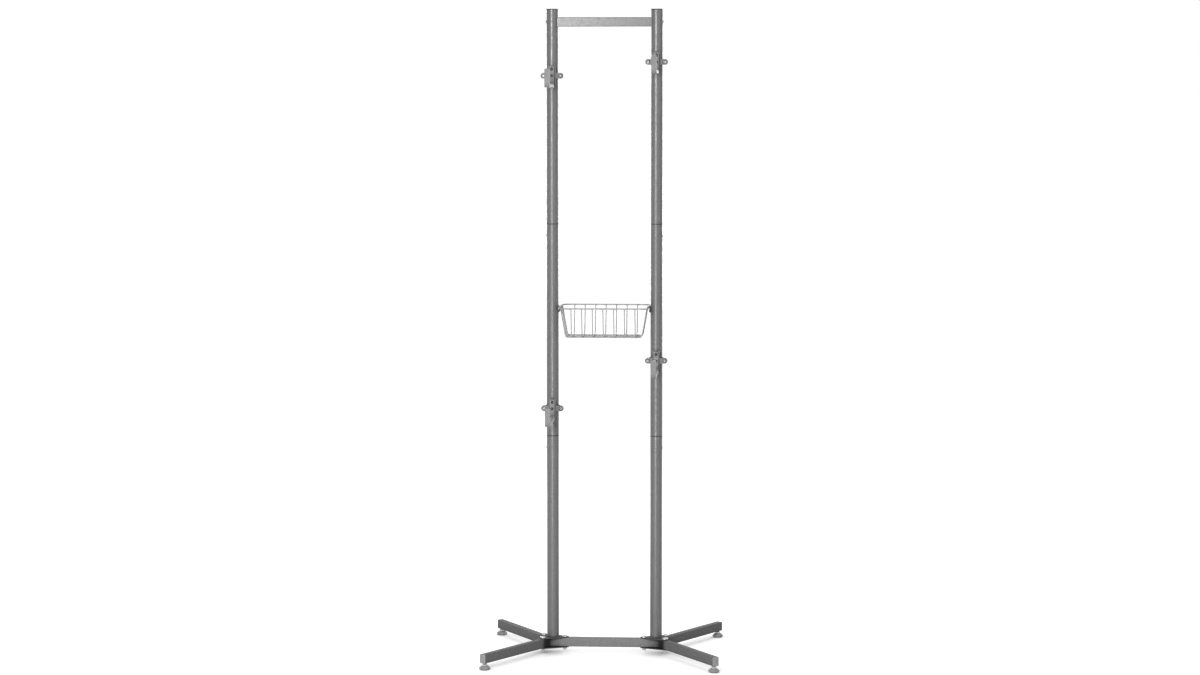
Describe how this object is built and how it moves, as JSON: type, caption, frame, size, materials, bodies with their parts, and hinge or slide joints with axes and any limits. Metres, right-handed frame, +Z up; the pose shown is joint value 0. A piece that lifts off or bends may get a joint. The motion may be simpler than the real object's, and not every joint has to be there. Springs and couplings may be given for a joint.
{
  "type": "two tier bike rack",
  "caption": "Floor-standing bicycle rack: twin round columns on splayed legs with levelling feet, height-adjustable clamped arms on two levels and a lift-off wire basket.",
  "frame": {"origin": "on the floor, half way between the two columns", "axes": "+Z up along the columns, +X to the right as seen from the front, +Y to the back; the arms reach to -Y"},
  "size_m": [0.78, 0.65, 2.134],
  "materials": {
    "silver_paint": "silver-grey hammered powder coat on steel, soft gloss",
    "basket_wire": "silver-grey coated steel wire",
    "zinc_steel": "bright zinc plated",
    "plain_steel": "plain steel, inside the crossbar",
    "black_plastic": "black moulded plastic",
    "grey_plastic": "grey moulded plastic",
    "grey_rubber": "light grey rubber"
  },
  "bodies": {
    "frame": {"base_bolts": "zinc_steel", "base_crossbar": "silver_paint", "base_nuts": "zinc_steel", "base_plate_bottom_left": "silver_paint", "base_plate_bottom_right": "silver_paint", "base_plate_top_left": "silver_paint", "base_plate_top_right": "silver_paint", "basket_hanger_left": "black_plastic", "basket_hanger_right": "black_plastic", "column_caps": "black_plastic", "column_lower_left": "silver_paint", "column_lower_right": "silver_paint", "column_middle_left": "silver_paint", "column_middle_right": "silver_paint", "column_upper_left": "silver_paint", "column_upper_right": "silver_paint", "crossbar_bolts": "zinc_steel", "crossbar_plugs": "plain_steel", "hanger_screws": "zinc_steel", "leg_caps": "grey_plastic", "leg_front_left": "silver_paint", "leg_front_right": "silver_paint", "leg_nuts": "zinc_steel", "leg_rear_left": "silver_paint", "leg_rear_right": "silver_paint", "seam_screws": "zinc_steel", "top_crossbar": "silver_paint"},
    "arm_upper_left": {"arm_bar_upper_left": "silver_paint", "cradle_pad_upper_left": "grey_rubber", "clamp_front_upper_left": "silver_paint", "clamp_rear_upper_left": "silver_paint", "arm_screws_upper_left": "zinc_steel"},
    "arm_upper_right": {"arm_bar_upper_right": "silver_paint", "cradle_pad_upper_right": "grey_rubber", "clamp_front_upper_right": "silver_paint", "clamp_rear_upper_right": "silver_paint", "arm_screws_upper_right": "zinc_steel"},
    "arm_lower_left": {"arm_bar_lower_left": "silver_paint", "cradle_pad_lower_left": "grey_rubber", "clamp_front_lower_left": "silver_paint", "clamp_rear_lower_left": "silver_paint", "arm_screws_lower_left": "zinc_steel"},
    "arm_lower_right": {"arm_bar_lower_right": "silver_paint", "cradle_pad_lower_right": "grey_rubber", "clamp_front_lower_right": "silver_paint", "clamp_rear_lower_right": "silver_paint", "arm_screws_lower_right": "zinc_steel"},
    "foot_front_left": {"foot_pad_front_left": "grey_plastic"},
    "stem_front_left": {"foot_stem_front_left": "zinc_steel"},
    "foot_front_right": {"foot_pad_front_right": "grey_plastic"},
    "stem_front_right": {"foot_stem_front_right": "zinc_steel"},
    "foot_rear_left": {"foot_pad_rear_left": "grey_plastic"},
    "stem_rear_left": {"foot_stem_rear_left": "zinc_steel"},
    "foot_rear_right": {"foot_pad_rear_right": "grey_plastic"},
    "stem_rear_right": {"foot_stem_rear_right": "zinc_steel"},
    "basket": {"basket_rim": "basket_wire", "basket_cross_wires": "basket_wire", "basket_long_wires": "basket_wire"}
  },
  "joints": [
    {"name": "arm_height_upper_left", "type": "slide", "parent": "frame", "child": "arm_upper_left", "axis": [0, 0, 1], "range_m": [-0.506, 0.149]},
    {"name": "arm_height_upper_right", "type": "slide", "parent": "frame", "child": "arm_upper_right", "axis": [0, 0, 1], "range_m": [-0.551, 0.104]},
    {"name": "arm_height_lower_left", "type": "slide", "parent": "frame", "child": "arm_lower_left", "axis": [0, 0, 1], "range_m": [-0.112, 0.224]},
    {"name": "arm_height_lower_right", "type": "slide", "parent": "frame", "child": "arm_lower_right", "axis": [0, 0, 1], "range_m": [-0.272, 0.064]},
    {"name": "basket_lift", "type": "slide", "parent": "frame", "child": "basket", "axis": [0, 0, 1], "range_m": [0, 0.03]},
    {"name": "foot_height_front_left", "type": "slide", "parent": "frame", "child": "foot_front_left", "axis": [0, 0, 1], "range_m": [-0.012, 0.0025]},
    {"name": "foot_turn_front_left", "type": "hinge", "parent": "foot_front_left", "child": "stem_front_left", "pos_m": [-0.371, -0.306, 0.02], "axis": [0, 0, 1], "range_deg": [-3456, 720]},
    {"name": "foot_height_front_right", "type": "slide", "parent": "frame", "child": "foot_front_right", "axis": [0, 0, 1], "range_m": [-0.012, 0.0025]},
    {"name": "foot_turn_front_right", "type": "hinge", "parent": "foot_front_right", "child": "stem_front_right", "pos_m": [0.371, -0.306, 0.02], "axis": [0, 0, 1], "range_deg": [-3456, 720]},
    {"name": "foot_height_rear_left", "type": "slide", "parent": "frame", "child": "foot_rear_left", "axis": [0, 0, 1], "range_m": [-0.012, 0.0025]},
    {"name": "foot_turn_rear_left", "type": "hinge", "parent": "foot_rear_left", "child": "stem_rear_left", "pos_m": [-0.371, 0.306, 0.02], "axis": [0, 0, 1], "range_deg": [-3456, 720]},
    {"name": "foot_height_rear_right", "type": "slide", "parent": "frame", "child": "foot_rear_right", "axis": [0, 0, 1], "range_m": [-0.012, 0.0025]},
    {"name": "foot_turn_rear_right", "type": "hinge", "parent": "foot_rear_right", "child": "stem_rear_right", "pos_m": [0.371, 0.306, 0.02], "axis": [0, 0, 1], "range_deg": [-3456, 720]}
  ],
  "couplings": [
    {"joint": "foot_turn_front_left", "follows": "foot_height_front_left", "rad_per_m": 5026.5},
    {"joint": "foot_turn_front_right", "follows": "foot_height_front_right", "rad_per_m": 5026.5},
    {"joint": "foot_turn_rear_left", "follows": "foot_height_rear_left", "rad_per_m": 5026.5},
    {"joint": "foot_turn_rear_right", "follows": "foot_height_rear_right", "rad_per_m": 5026.5}
  ]
}
